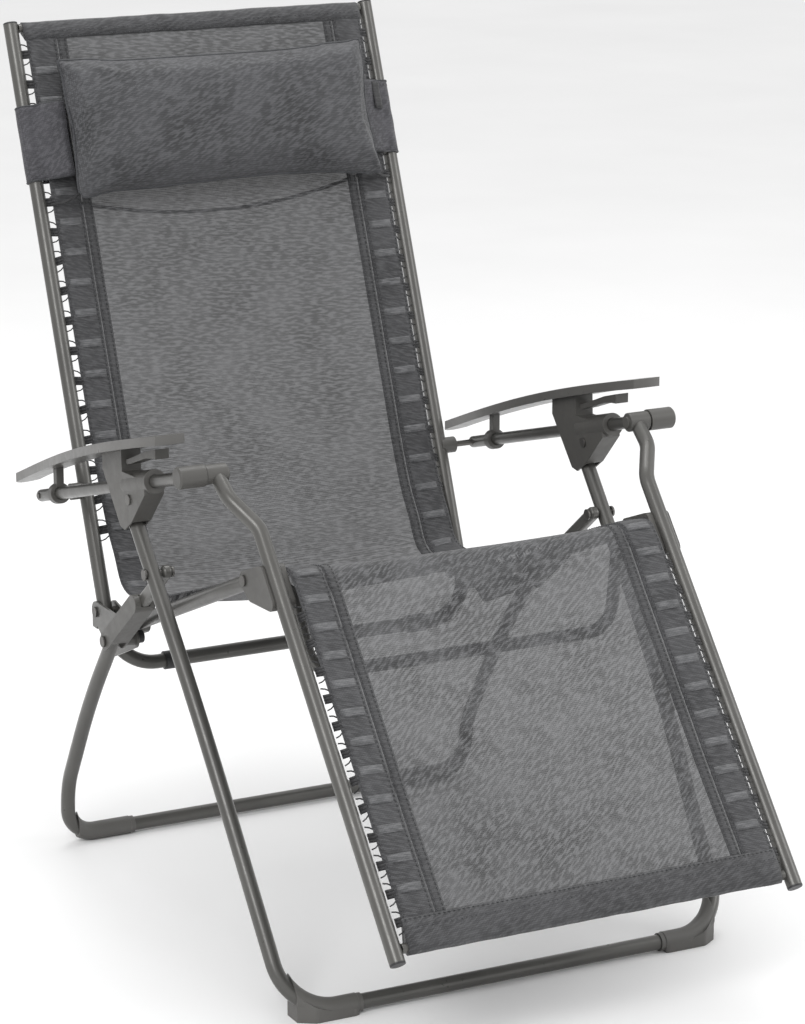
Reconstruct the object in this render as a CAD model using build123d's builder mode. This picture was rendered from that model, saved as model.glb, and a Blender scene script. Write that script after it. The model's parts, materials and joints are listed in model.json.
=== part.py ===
"""Zero gravity recliner: a folding tube frame with a laced mesh sling, headrest and armrests.

Millimetres, +Z up.  The origin is on the floor, below the middle of the recliner's box, on the plane of symmetry.
The sitter faces -Y.  "left" is the -X side and "right" is the +X side.
"""
from build123d import *
import os
from math import asin, atan2, cos, degrees, hypot, radians, sin

os.makedirs("parts", exist_ok=True)

# ---------------------------------------------------------------- driving dimensions
frame_radius = 9.5          # main frame tubes
frame_wall = 1.3
arm_radius = 8.0            # armrest tubes
arm_wall = 1.2
crossbar_radius = 8.0       # dropped crossbar of the leg rest
spreader_radius = 6.0       # bars inside the fabric hems
pin_radius = 4.0
running_gap = 0.05          # radial clearance of a pin in its hole
press_gap = 0.02            # radial gap of a pin held in its own body
skin_gap = 0.05             # gap between a moulding and the tube it grips

# side view positions (y, z) of the pivots
rear_hinge = (154.0, 335.0)     # rear leg, link and seat bracket
back_pivot = (279.0, 335.5)     # back frame on the seat bracket
knee_pivot = (-192.0, 499.7)    # seat tube on the leg rest's bracket
arm_pivot = (-142.0, 620.0)     # armrest tube on top of the leg rest
arm_rear = (337.5, 485.0)       # armrest tube's rear rod at the back frame
link_pivot = (-15.0, 468.0)       # link on the front leg
leg_top_pivot = (21.0, 555.0)   # armrest bracket over the top of the front leg

back_top = (566.0, 1069.0)      # upper end of the back tubes
back_bar = (251.4, 265.0)       # lower crossbar of the back frame
leg_rest_end = (-566.0, 148.0)  # lower end of the leg rest tubes
leg_rest_bend = (-210.0, 566.0)

# lateral positions, measured from the plane of symmetry
back_tube_x = 262.0
leg_rest_x = 264.0
arm_tube_x = 320.0
sling_half_width = 246.0
seat_sling_half_width = 240.0
link_x = 301.5
rear_leg_x = 303.0

front_floor_y = -354.0
rear_floor_y = 336.0
floor_bar_z = 12.0

sling_thickness = 3.0
sling_front = 8.0           # back and leg fabric in front of the tube axes
lace_radius = 1.7
lace_gap = 1.6            # between a fabric edge and the end of a loop

sides = ((-1, "left"), (1, "right"))


# ---------------------------------------------------------------- geometry helpers
def unit(start, end):
    """Unit (y, z) direction from one side view point to another."""
    length = hypot(end[0] - start[0], end[1] - start[1])
    return ((end[0] - start[0]) / length, (end[1] - start[1]) / length)


def along(start, direction, distance, normal=0.0):
    """Point at a distance along a side view line, and offset square to it (towards the front)."""
    y = start[0] + direction[0] * distance - direction[1] * normal
    z = start[1] + direction[1] * distance + direction[0] * normal
    return (y, z)


def side_plane(x, origin=(0.0, 0.0)):
    """Plane square to X, with its local x along +Y and its local y along +Z."""
    return Plane(origin=(x, origin[0], origin[1]), x_dir=(0, 1, 0), z_dir=(1, 0, 0))


def cross_plane(origin, direction, x=0.0):
    """Plane square to a side view direction, with its local x along +X."""
    return Plane(origin=(x, origin[0], origin[1]), x_dir=(1, 0, 0), z_dir=(0, direction[0], direction[1]))


def save(part, label):
    """Give a finished piece its name and write it."""
    part.label = label
    export_step(part, "parts/" + label + ".step")


def lateral_solid(x_start, x_end, centre, radius):
    """Round bar along X between two lateral positions."""
    low = min(x_start, x_end)
    with BuildPart() as bar:
        with BuildSketch(side_plane(low, centre)):
            Circle(radius)
        extrude(amount=abs(x_end - x_start))
    return bar.part


def straight_solid(start, end, radius):
    """Round bar between two points in space."""
    start = Vector(*start)
    end = Vector(*end)
    with BuildPart() as bar:
        with BuildSketch(Plane(origin=start, z_dir=end - start)):
            Circle(radius)
        extrude(amount=(end - start).length)
    return bar.part


def bent_tube(points, radii, outer, wall):
    """Hollow tube along straight runs joined by tangent arcs."""
    with BuildPart() as tube:
        with BuildLine() as path:
            FilletPolyline(*points, radius=radii)
        with BuildSketch(Plane(origin=path.line @ 0, z_dir=path.line % 0)):
            Circle(outer)
            Circle(outer - wall, mode=Mode.SUBTRACT)
        sweep()
    return tube.part


def straight_tube(start, end, outer, wall):
    """Hollow straight tube between two points in space."""
    start = Vector(*start)
    end = Vector(*end)
    with BuildPart() as tube:
        with BuildSketch(Plane(origin=start, z_dir=end - start)):
            Circle(outer)
            Circle(outer - wall, mode=Mode.SUBTRACT)
        extrude(amount=(end - start).length)
    return tube.part


def ring_solid(start, end, outer, inner):
    """Collar between two points in space."""
    return straight_tube(start, end, outer, outer - inner)


def plate(x_start, x_end, circles):
    """Flat plate square to X whose outline wraps the given (y, z, radius) circles."""
    low = min(x_start, x_end)
    with BuildPart() as sheet:
        with BuildSketch(side_plane(low)):
            for y, z, radius in circles:
                with Locations((y, z)):
                    Circle(radius)
            make_hull()
        extrude(amount=abs(x_end - x_start))
    return sheet.part


def bent_solid(points, bend_radius, radius):
    """Solid round bar along straight runs joined by tangent arcs."""
    with BuildPart() as bar:
        with BuildLine() as path:
            FilletPolyline(*points, radius=bend_radius)
        with BuildSketch(Plane(origin=path.line @ 0, z_dir=path.line % 0)):
            Circle(radius)
        sweep()
    return bar.part


# ---------------------------------------------------------------- base: front legs
front_leg_top = (320.0, 44.0, 536.0)
front_leg_middle = (314.5, -154.0, 308.0)
foot_corner_x = 300.0
foot_tube_end_x = 208.0
foot_bend_radius = 66.0
front_leg_direction = unit((front_leg_middle[1], front_leg_middle[2]), (front_leg_top[1], front_leg_top[2]))

for side, side_name in sides:
    leg_points = [
        (side * front_leg_top[0], front_leg_top[1], front_leg_top[2]),
        (side * front_leg_middle[0], front_leg_middle[1], front_leg_middle[2]),
        (side * foot_corner_x, front_floor_y, floor_bar_z),
        (side * foot_tube_end_x, front_floor_y, floor_bar_z),
    ]
    with BuildPart() as front_leg:
        add(bent_tube(leg_points, [2000, foot_bend_radius], frame_radius, frame_wall))
        add(lateral_solid(side * 290, side * 345, link_pivot, pin_radius + press_gap), mode=Mode.SUBTRACT)
    save(front_leg.part, "front_leg_" + side_name)

with BuildPart() as front_floor_bar:
    add(straight_tube((-foot_tube_end_x, front_floor_y, floor_bar_z), (foot_tube_end_x, front_floor_y, floor_bar_z),
                      frame_radius, frame_wall))
save(front_floor_bar.part, "front_floor_bar")

with BuildPart() as front_leg_plugs:
    for side, side_name in sides:
        top = Vector(side * front_leg_top[0], front_leg_top[1], front_leg_top[2])
        middle = Vector(side * front_leg_middle[0], front_leg_middle[1], front_leg_middle[2])
        upward = (top - middle).normalized()
        add(straight_solid(top - upward * 12, top + upward * 0.01, frame_radius - frame_wall - skin_gap))
        add(straight_solid(top + upward * 0.01, top + upward * 2, frame_radius))
save(front_leg_plugs.part, "front_leg_plugs")

pin_head_radius = 7.0
with BuildPart() as link_pivot_pins:
    for side, side_name in sides:
        add(lateral_solid(side * 294.9, side * 328.4, link_pivot, pin_radius))
        add(lateral_solid(side * 292.2, side * 294.9, link_pivot, pin_head_radius))
        add(lateral_solid(side * 328.4, side * 331.0, link_pivot, pin_head_radius))
save(link_pivot_pins.part, "link_pivot_pins")


# ---------------------------------------------------------------- foot caps
cap_radius = 12.0
cap_outer_x = 288.0
cap_inner_x = 206.0
cap_collar_length = 6.0
cap_collar_radius = 11.2


def foot_cap(floor_y, leg_point, bend_radius):
    """Moulded elbow round the bend at the floor on the right side, flat underneath and at its outer end."""
    corner = Vector(foot_corner_x, floor_y, floor_bar_z)
    towards_leg = (Vector(*leg_point) - corner).normalized()
    leg_end = corner + towards_leg * 100
    inner_end = Vector(cap_inner_x, floor_y, floor_bar_z)
    far_end = Vector(cap_inner_x - 20, floor_y, floor_bar_z)
    bend_start_x = foot_corner_x - bend_radius
    turn = asin((cap_outer_x - bend_start_x) / bend_radius)
    rise = bend_radius * (1 - cos(turn))
    half_rise = bend_radius * (1 - cos(turn / 2))
    half_x = bend_start_x + bend_radius * sin(turn / 2)
    end_y = floor_y + rise * towards_leg.Y
    with BuildPart() as cap:
        with BuildSketch(Plane.XY):
            for x, y in ((cap_inner_x + 12, floor_y), (bend_start_x, floor_y), (half_x, floor_y), (cap_outer_x, end_y)):
                with Locations((x, y)):
                    Circle(cap_radius)
            make_hull()
        extrude(amount=80)
        with BuildSketch(Plane.XZ.offset(-floor_y - 200)):
            with BuildLine():
                Polyline((bend_start_x, floor_bar_z), (cap_inner_x, floor_bar_z), (cap_inner_x, 0), (cap_outer_x, 0),
                         (cap_outer_x, floor_bar_z + rise * towards_leg.Z))
                ThreePointArc((cap_outer_x, floor_bar_z + rise * towards_leg.Z),
                              (half_x, floor_bar_z + half_rise * towards_leg.Z), (bend_start_x, floor_bar_z))
            make_face()
        extrude(amount=400, mode=Mode.INTERSECT)
        add(bent_solid([leg_end, corner, inner_end], bend_radius, cap_radius))
        with Locations((cap_outer_x + 50, floor_y, 100)):
            Box(100, 300, 400, mode=Mode.SUBTRACT)
        with BuildSketch(Plane.YZ.offset(cap_inner_x - 1)):
            with Locations((floor_y, floor_bar_z)):
                Rectangle(80, 80)
                Circle(cap_collar_radius, mode=Mode.SUBTRACT)
        extrude(amount=1 + cap_collar_length, mode=Mode.SUBTRACT)
        add(bent_solid([leg_end, corner, far_end], bend_radius, frame_radius + skin_gap), mode=Mode.SUBTRACT)
        with Locations((corner.X, corner.Y, -20)):
            Box(400, 120, 40, mode=Mode.SUBTRACT)
    return cap.part


def save_foot_caps(floor_y, leg_point, bend_radius, label):
    """Write the right foot cap and its mirror image."""
    with BuildPart() as right_cap:
        add(foot_cap(floor_y, leg_point, bend_radius))
    save(right_cap.part, label + "_right")
    with BuildPart() as left_cap:
        add(mirror(right_cap.part, about=Plane.YZ, mode=Mode.PRIVATE))
    save(left_cap.part, label + "_left")


save_foot_caps(front_floor_y, front_leg_middle, foot_bend_radius, "front_foot_cap")

# ---------------------------------------------------------------- links
link_direction = unit(link_pivot, rear_hinge)
link_length = hypot(rear_hinge[0] - link_pivot[0], rear_hinge[1] - link_pivot[1])
link_bar_start = -10.0
link_bar_end = 150.0
link_width = 17.0
link_thickness = 12.0
cover_start = 84.0
cover_width = 24.0
cover_inner_x = 290.3
cover_outer_x = 315.7
fork_inner_x = 293.0
fork_outer_x = 313.0
fork_depth = 17.0          # the fork's slot starts this far before the hinge
link_plane = Plane(origin=(0, link_pivot[0], link_pivot[1]), x_dir=(0, link_direction[0], link_direction[1]),
                   z_dir=(1, 0, 0))

for side, side_name in sides:
    with BuildPart() as link:
        with BuildSketch(link_plane.offset(side * link_x - link_thickness / 2)):
            with Locations(((link_bar_start + link_bar_end) / 2, 0)):
                SlotOverall(link_bar_end - link_bar_start, link_width)
        extrude(amount=link_thickness)
        fillet(link.edges().filter_by(GeomType.LINE).group_by(Axis.X)[0], 4)
        fillet(link.edges().filter_by(GeomType.LINE).group_by(Axis.X)[-1], 4)
        add(lateral_solid(side * 290, side * 312, link_pivot, pin_radius + running_gap), mode=Mode.SUBTRACT)
    save(link.part, "link_" + side_name)


def link_cover(side):
    """Wide lower half of a link: a socket for the link bar that ends in a fork round the rear leg."""
    cover_length = link_length + cover_width / 2 - cover_start
    with BuildPart() as cover:
        with BuildSketch(link_plane.offset(min(side * cover_inner_x, side * cover_outer_x))):
            with Locations((cover_start + cover_length / 2, 0)):
                SlotOverall(cover_length, cover_width)
        extrude(amount=cover_outer_x - cover_inner_x)
        with BuildSketch(link_plane.offset(side * link_x - link_thickness / 2 - skin_gap)):
            with Locations(((cover_start + link_bar_end) / 2, 0)):
                Rectangle(link_bar_end - cover_start + 0.4, link_width + 2 * skin_gap)
        extrude(amount=link_thickness + 2 * skin_gap, mode=Mode.SUBTRACT)
        with BuildSketch(link_plane.offset(min(side * fork_inner_x, side * fork_outer_x))):
            with Locations((link_length + 10, 0)):
                Rectangle(2 * (fork_depth + 10), cover_width + 10)
        extrude(amount=fork_outer_x - fork_inner_x, mode=Mode.SUBTRACT)
        add(lateral_solid(side * 285, side * 320, rear_hinge, pin_radius + running_gap), mode=Mode.SUBTRACT)
    return cover.part


with BuildPart() as link_covers:
    for side, side_name in sides:
        add(link_cover(side))
save(link_covers.part, "link_covers")

# ---------------------------------------------------------------- rear legs
rear_leg_knuckle = (301.5, 328.0, 85.0)
rear_foot_bend_radius = 38.0
rear_leg_head = along(rear_hinge, unit((238.0, 230.0), rear_hinge), 9.0)

for side, side_name in sides:
    leg_points = [
        (side * rear_leg_x, rear_leg_head[0], rear_leg_head[1]),
        (side * rear_leg_x, 238.0, 230.0),
        (side * rear_leg_knuckle[0], rear_leg_knuckle[1], rear_leg_knuckle[2]),
        (side * foot_corner_x, rear_floor_y, floor_bar_z),
        (side * foot_tube_end_x, rear_floor_y, floor_bar_z),
    ]
    with BuildPart() as rear_leg:
        add(bent_tube(leg_points, [1200, 120, rear_foot_bend_radius], frame_radius, frame_wall))
        add(lateral_solid(side * 285, side * 320, rear_hinge, pin_radius + press_gap), mode=Mode.SUBTRACT)
    save(rear_leg.part, "rear_leg_" + side_name)

save_foot_caps(rear_floor_y, rear_leg_knuckle, rear_foot_bend_radius, "rear_foot_cap")

with BuildPart() as rear_floor_bar:
    add(straight_tube((-foot_tube_end_x, rear_floor_y, floor_bar_z), (foot_tube_end_x, rear_floor_y, floor_bar_z),
                      frame_radius, frame_wall))
save(rear_floor_bar.part, "rear_floor_bar")

with BuildPart() as hinge_pins:
    for side, side_name in sides:
        add(lateral_solid(side * 290.4, side * 316.2, rear_hinge, pin_radius))
        add(lateral_solid(side * 316.2, side * 319.0, rear_hinge, pin_head_radius))
save(hinge_pins.part, "hinge_pins")

# ---------------------------------------------------------------- seat
seat_slope = radians(22.7)
seat_direction = (cos(seat_slope), -sin(seat_slope))    # from the knee to the rear
seat_front = -11.0
seat_rear = 463.0
bracket_start = 399.0
bracket_inner_x = 247.0
bracket_outer_x = 275.5
ear_thickness = 3.0

for side, side_name in sides:
    front = along(knee_pivot, seat_direction, seat_front)
    rear = along(knee_pivot, seat_direction, seat_rear)
    with BuildPart() as seat_tube:
        add(straight_tube((side * back_tube_x, *front), (side * back_tube_x, *rear), frame_radius, frame_wall))
        add(lateral_solid(side * 240, side * 285, knee_pivot, pin_radius + running_gap), mode=Mode.SUBTRACT)
    save(seat_tube.part, "seat_tube_" + side_name)

sleeve_start = along(knee_pivot, seat_direction, bracket_start)
sleeve_end = along(knee_pivot, seat_direction, seat_rear + 2)
sleeve_radius = 13.0
brace = (226.0, 299.0)

for side, side_name in sides:
    with BuildPart() as rear_bracket:
        add(plate(side * bracket_inner_x, side * bracket_outer_x,
                  [(*sleeve_start, sleeve_radius), (*along(knee_pivot, seat_direction, seat_rear - 12), sleeve_radius)]))
        add(straight_solid((side * back_tube_x, *along(sleeve_start, seat_direction, -30)),
                           (side * back_tube_x, *sleeve_end), frame_radius + skin_gap), mode=Mode.SUBTRACT)
        add(plate(side * (bracket_outer_x - ear_thickness), side * bracket_outer_x,
                  [(*back_pivot, 14), (*along(knee_pivot, seat_direction, seat_rear - 12), sleeve_radius),
                   (*brace, 10), (*rear_hinge, 14)]))
        add(plate(side * bracket_inner_x, side * (bracket_inner_x + ear_thickness),
                  [(*back_pivot, 12), (*along(knee_pivot, seat_direction, seat_rear - 14, -1), 11)]))
        for ear_x in (bracket_inner_x, bracket_outer_x - ear_thickness):
            with Locations((side * (ear_x + ear_thickness / 2), 283.5, 321)):
                Box(ear_thickness, 15, 16)
        with Locations((side * (bracket_inner_x + bracket_outer_x) / 2, 289.5, 321)):
            Box(bracket_outer_x - bracket_inner_x, 3, 16)
        add(lateral_solid(side * bracket_outer_x, side * 289.7, rear_hinge, 10))
        add(lateral_solid(side * 240, side * 280, back_pivot, pin_radius + press_gap), mode=Mode.SUBTRACT)
        add(lateral_solid(side * 265, side * 285, rear_hinge, 3 + press_gap), mode=Mode.SUBTRACT)
    save(rear_bracket.part, "rear_hinge_bracket_" + side_name)

with BuildPart() as back_pivot_pins:
    for side, side_name in sides:
        add(lateral_solid(side * 246.9, side * 275.6, back_pivot, pin_radius))
        add(lateral_solid(side * 244.6, side * 246.9, back_pivot, pin_head_radius))
        add(lateral_solid(side * 275.6, side * 278.2, back_pivot, pin_head_radius))
save(back_pivot_pins.part, "back_pivot_pins")

with BuildPart() as hinge_knobs:
    for side, side_name in sides:
        add(lateral_solid(side * 262.5, side * 272.4, rear_hinge, 8.5))
        add(lateral_solid(side * 272.4, side * 284.5, rear_hinge, 3))
    fillet(hinge_knobs.edges().filter_by(GeomType.CIRCLE).group_by(SortBy.RADIUS)[-1], 1.5)
save(hinge_knobs.part, "hinge_knobs")

seat_sling_offset = 5.0
seat_sling_start = -2.0
seat_sling_end = 425.0


def fabric_panel(origin, direction, first, last, offset, half_width):
    """Flat fabric panel along a side view line between two distances from its origin."""
    with BuildPart() as panel:
        with BuildSketch(cross_plane(along(origin, direction, first, offset), direction)):
            Rectangle(2 * half_width, sling_thickness)
        extrude(amount=last - first)
    return panel.part


def lacing(origin, direction, first, last, count, offset, half_width, tube_inner_x):
    """Elastic loops between the edge of a fabric panel and the tube beside it."""
    with BuildPart() as loops:
        for index in range(count):
            distance = first + (last - first) * index / (count - 1)
            edge_point = along(origin, direction, distance, offset)
            tube_point = along(origin, direction, distance, offset * 0.4)
            for side, side_name in sides:
                add(straight_solid((side * (half_width + lace_gap), *edge_point), (side * tube_inner_x, *tube_point),
                                   lace_radius))
    return loops.part


save(fabric_panel(knee_pivot, seat_direction, seat_sling_start, seat_sling_end, seat_sling_offset,
                  seat_sling_half_width), "seat_sling")
save(lacing(knee_pivot, seat_direction, 55, 375, 9, seat_sling_offset, seat_sling_half_width,
            back_tube_x - frame_radius - 0.4), "seat_lacing")

# ---------------------------------------------------------------- back
back_direction = unit(back_pivot, back_top)
back_length = hypot(back_top[0] - back_pivot[0], back_top[1] - back_pivot[1])
back_corner_radius = 60.0
collar_x = 180.0

for side, side_name in sides:
    tube_points = [
        (side * back_tube_x, *back_top),
        (side * back_tube_x, *back_bar),
        (side * collar_x, *back_bar),
    ]
    with BuildPart() as back_tube:
        add(bent_tube(tube_points, back_corner_radius, frame_radius, frame_wall))
        add(lateral_solid(side * 240, side * 285, back_pivot, pin_radius + running_gap), mode=Mode.SUBTRACT)
    save(back_tube.part, "back_tube_" + side_name)

with BuildPart() as back_lower_bar:
    add(straight_tube((-collar_x, *back_bar), (collar_x, *back_bar), frame_radius, frame_wall))
save(back_lower_bar.part, "back_lower_bar")

with BuildPart() as crossbar_collars:
    for side, side_name in sides:
        add(ring_solid((side * (collar_x - 12), *back_bar), (side * (collar_x + 12), *back_bar), 12.2,
                       frame_radius + skin_gap))
save(crossbar_collars.part, "crossbar_collars")


def end_plug(x, end, direction, tube_outer, tube_wall):
    """Plug pushed into an open tube end, with a thin rim over the tube."""
    with BuildPart() as plug:
        add(straight_solid((x, *along(end, direction, -14)), (x, *along(end, direction, 0.01)),
                           tube_outer - tube_wall - skin_gap))
        add(straight_solid((x, *along(end, direction, 0.01)), (x, *along(end, direction, 2.4)), tube_outer))
        fillet(plug.edges().filter_by(GeomType.CIRCLE).sort_by(Axis((0, *end), (0, *direction)))[-1], 1.2)
    return plug.part


with BuildPart() as back_end_plugs:
    for side, side_name in sides:
        add(end_plug(side * back_tube_x, back_top, back_direction, frame_radius, frame_wall))
save(back_end_plugs.part, "back_end_plugs")

hem_bar_back = back_length - 6.0
with BuildPart() as top_spreader_bar:
    bar_end = back_tube_x - frame_radius - skin_gap
    bar_point = along(back_pivot, back_direction, hem_bar_back)
    add(straight_tube((-bar_end, *bar_point), (bar_end, *bar_point), spreader_radius, 1.0))
save(top_spreader_bar.part, "top_spreader_bar")

back_sling_start = 26.0
back_sling_end = hem_bar_back - spreader_radius - 0.5
save(fabric_panel(back_pivot, back_direction, back_sling_start, back_sling_end, sling_front, sling_half_width),
     "back_sling")
save(lacing(back_pivot, back_direction, 50, 745, 18, sling_front, sling_half_width, back_tube_x - frame_radius - 0.1),
     "back_lacing")

rod_radius = 4.0
clip_radius = 11.0
clip_bore = 6.8
clip_outer_x = 284.0
with BuildPart() as arm_rod_clips:
    for side, side_name in sides:
        add(lateral_solid(side * back_tube_x, side * clip_outer_x, arm_rear, clip_radius))
        add(lateral_solid(side * 274.5, side * 290, arm_rear, clip_bore), mode=Mode.SUBTRACT)
        add(straight_solid((side * back_tube_x, *along(arm_rear, back_direction, -30)),
                           (side * back_tube_x, *along(arm_rear, back_direction, 30)), frame_radius + skin_gap),
            mode=Mode.SUBTRACT)
save(arm_rod_clips.part, "arm_rod_clips")

# ---------------------------------------------------------------- headrest
pillow_half_width = 231.0
pillow_low = 530.0
pillow_high = 737.0
pillow_back = 12.0
pillow_front = 74.0
flap_low = 574.0
flap_high = 674.0
flap_inner = 10.6
flap_outer = 12.6

pillow_height = pillow_high - pillow_low
pillow_depth = pillow_front - pillow_back
pillow_middle = along(back_pivot, back_direction, (pillow_low + pillow_high) / 2, (pillow_front + pillow_back) / 2)
tilt = degrees(atan2(back_direction[0], back_direction[1]))
with BuildPart() as headrest_pillow:
    with Locations(Location((0, *pillow_middle), (-tilt, 0, 0))):
        Box(2 * pillow_half_width, pillow_depth, pillow_height)
    fillet(headrest_pillow.edges(), 30)
save(headrest_pillow.part, "headrest_pillow")

for side, side_name in sides:
    flap_plane = cross_plane(along(back_pivot, back_direction, flap_low), back_direction, side * back_tube_x)
    with BuildPart() as flap:
        with BuildSketch(flap_plane) as section:
            Circle(flap_outer)
            front_strip = (flap_outer + flap_inner) / 2
            with Locations((-side * 15.2, -front_strip), (-side * 9, front_strip)):
                Rectangle(30.4, flap_outer - flap_inner)
            Circle(flap_inner, mode=Mode.SUBTRACT)
            with Locations((-side * 20, 0)):
                Rectangle(40, 2 * flap_inner, mode=Mode.SUBTRACT)
        extrude(amount=flap_high - flap_low)
    save(flap.part, "headrest_flap_" + side_name)

tag_middle = along(back_pivot, back_direction, 652, flap_outer + 0.8)
with BuildPart() as headrest_tag:
    with Locations(Location((249, *tag_middle), (-tilt, 0, 0))):
        Box(12, 1.2, 38)
save(headrest_tag.part, "headrest_tag")

# ---------------------------------------------------------------- leg rest
leg_direction = unit(leg_rest_end, leg_rest_bend)
leg_length = hypot(leg_rest_bend[0] - leg_rest_end[0], leg_rest_bend[1] - leg_rest_end[1])
cap_inner_face = 276.0
cap_outer_face = 304.6
pivot_cap_radius = 12.0
spigot_radius = 6.0

for side, side_name in sides:
    tube_points = [
        (side * leg_rest_x, *leg_rest_end),
        (side * leg_rest_x, *leg_rest_bend),
        (side * 287, -174.0, 597.0),
        (side * 289, *arm_pivot),
    ]
    with BuildPart() as leg_rest_tube:
        add(bent_tube(tube_points, [40, 40], frame_radius, frame_wall))
        add(lateral_solid(side * 270, side * 320, arm_pivot, pivot_cap_radius + press_gap), mode=Mode.SUBTRACT)
    save(leg_rest_tube.part, "leg_rest_tube_" + side_name)
    with BuildPart() as pivot_cap:
        add(lateral_solid(side * cap_inner_face, side * cap_outer_face, arm_pivot, pivot_cap_radius))
        fillet(pivot_cap.edges().filter_by(GeomType.CIRCLE), 1.5)
        add(lateral_solid(side * (cap_inner_face - 2.5), side * (cap_inner_face + 1), arm_pivot, 7))
        add(lateral_solid(side * cap_outer_face, side * 336.5, arm_pivot, spigot_radius))
    save(pivot_cap.part, "pivot_cap_" + side_name)

knee_saddle = 15.5
slot_inner_x = 250.0
slot_outer_x = 274.2
knee_outer_x = 277.2
knee_low = along(leg_rest_end, leg_direction, 456, -9)
knee_high = along(leg_rest_end, leg_direction, 496, -9)
knee_corner_radius = 9.0
bar_root = (-211.0, 489.0)


def knee_bracket(side):
    """Moulded saddle on the leg rest tube with two cheeks that hold the seat tube's front end."""
    leg_axis_low = along(leg_rest_end, leg_direction, 400)
    leg_axis_high = along(leg_rest_end, leg_direction, 548)
    with BuildPart() as bracket:
        add(plate(side * bracket_inner_x, side * knee_outer_x,
                  [(*knee_pivot, 11.5), (*bar_root, 11), (*knee_low, knee_corner_radius),
                   (*knee_high, knee_corner_radius)]))
        add(straight_solid((side * leg_rest_x, *leg_axis_low), (side * leg_rest_x, *leg_axis_high),
                           frame_radius + skin_gap), mode=Mode.SUBTRACT)
        with BuildSketch(Plane(origin=(min(side * slot_inner_x, side * slot_outer_x), *leg_rest_end),
                               x_dir=(0, *leg_direction), z_dir=(1, 0, 0))):
            with Locations((475, -knee_saddle - 40)):
                Rectangle(160, 80)
        extrude(amount=slot_outer_x - slot_inner_x, mode=Mode.SUBTRACT)
        add(lateral_solid(side * 240, side * 285, knee_pivot, pin_radius + press_gap), mode=Mode.SUBTRACT)
    return bracket.part


with BuildPart() as knee_brackets:
    for side, side_name in sides:
        add(knee_bracket(side))
save(knee_brackets.part, "knee_brackets")

with BuildPart() as knee_pivot_pins:
    for side, side_name in sides:
        add(lateral_solid(side * 246.9, side * 277.3, knee_pivot, pin_radius))
        add(lateral_solid(side * 244.6, side * 246.9, knee_pivot, pin_head_radius))
        add(lateral_solid(side * 277.3, side * 279.8, knee_pivot, pin_head_radius))
save(knee_pivot_pins.part, "knee_pivot_pins")

crossbar_corner = (-229.0, 383.0)
with BuildPart() as leg_rest_crossbar:
    bar_end = bracket_inner_x - skin_gap
    add(bent_tube([(-bar_end, *bar_root), (-224, *bar_root), (-204, *crossbar_corner),
                   (204, *crossbar_corner), (224, *bar_root), (bar_end, *bar_root)],
                  [16, 38, 38, 16], crossbar_radius, arm_wall))
save(leg_rest_crossbar.part, "leg_rest_crossbar")

hem_bar_leg = 16.0
with BuildPart() as foot_spreader_bar:
    bar_end = leg_rest_x - frame_radius - skin_gap
    bar_point = along(leg_rest_end, leg_direction, hem_bar_leg)
    add(straight_tube((-bar_end, *bar_point), (bar_end, *bar_point), spreader_radius, 1.0))
save(foot_spreader_bar.part, "foot_spreader_bar")

with BuildPart() as leg_end_plugs:
    for side, side_name in sides:
        add(end_plug(side * leg_rest_x, leg_rest_end, (-leg_direction[0], -leg_direction[1]), frame_radius,
                     frame_wall))
save(leg_end_plugs.part, "leg_end_plugs")

leg_sling_start = hem_bar_leg + spreader_radius + 0.5
leg_sling_end = 478.0
save(fabric_panel(leg_rest_end, leg_direction, leg_sling_start, leg_sling_end, sling_front, sling_half_width),
     "leg_sling")
save(lacing(leg_rest_end, leg_direction, 45, 428, 12, sling_front, sling_half_width, leg_rest_x - frame_radius - 0.1),
     "leg_lacing")

# ---------------------------------------------------------------- armrest tubes
arm_direction = unit(arm_pivot, arm_rear)
sleeve_outer_radius = 13.5
sleeve_inner_face = 305.2
sleeve_outer_face = 340.0
arm_tube_end = along(arm_rear, arm_direction, 9)

for side, side_name in sides:
    with BuildPart() as arm_tube:
        add(straight_tube((side * arm_tube_x, *arm_pivot), (side * arm_tube_x, *arm_tube_end), arm_radius, arm_wall))
        add(lateral_solid(side * 300, side * 345, arm_pivot, sleeve_outer_radius + press_gap), mode=Mode.SUBTRACT)
        add(lateral_solid(side * 290, side * 345, arm_rear, rod_radius + press_gap), mode=Mode.SUBTRACT)
    save(arm_tube.part, "arm_tube_" + side_name)

with BuildPart() as arm_sleeves:
    for side, side_name in sides:
        add(lateral_solid(side * sleeve_inner_face, side * sleeve_outer_face, arm_pivot, sleeve_outer_radius))
    chamfer(arm_sleeves.edges().filter_by(GeomType.CIRCLE).group_by(Axis.X)[0], 2)
    chamfer(arm_sleeves.edges().filter_by(GeomType.CIRCLE).group_by(Axis.X)[-1], 2)
    for side, side_name in sides:
        add(lateral_solid(side * 300, side * 337, arm_pivot, spigot_radius + running_gap), mode=Mode.SUBTRACT)
save(arm_sleeves.part, "arm_sleeves")

with BuildPart() as arm_rear_rods:
    for side, side_name in sides:
        add(lateral_solid(side * 276.5, side * 329.5, arm_rear, rod_radius))
save(arm_rear_rods.part, "arm_rear_rods")

# ---------------------------------------------------------------- armrests
pad_front = (-104.0, 664.0)
pad_rear = (412.0, 497.0)
pad_crown = (166.0, 587.0)
pad_thickness = 12.0
pad_inner_x = 302.0
pad_outer_x = 356.0
pad_toe_in = 10.0           # the pads come closer together towards the rear
bracket_left_x = 307.0
bracket_right_x = 333.0
barrel_radius = 15.0
arm_bore = arm_radius + 0.3
barrel_front = -32.0
ring_y = 286.0
arm_slope = arm_direction[1] / arm_direction[0]


def arm_axis_z(y):
    """Height of the armrest tube's axis at a distance along Y."""
    return arm_pivot[1] + (y - arm_pivot[0]) * arm_slope


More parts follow.
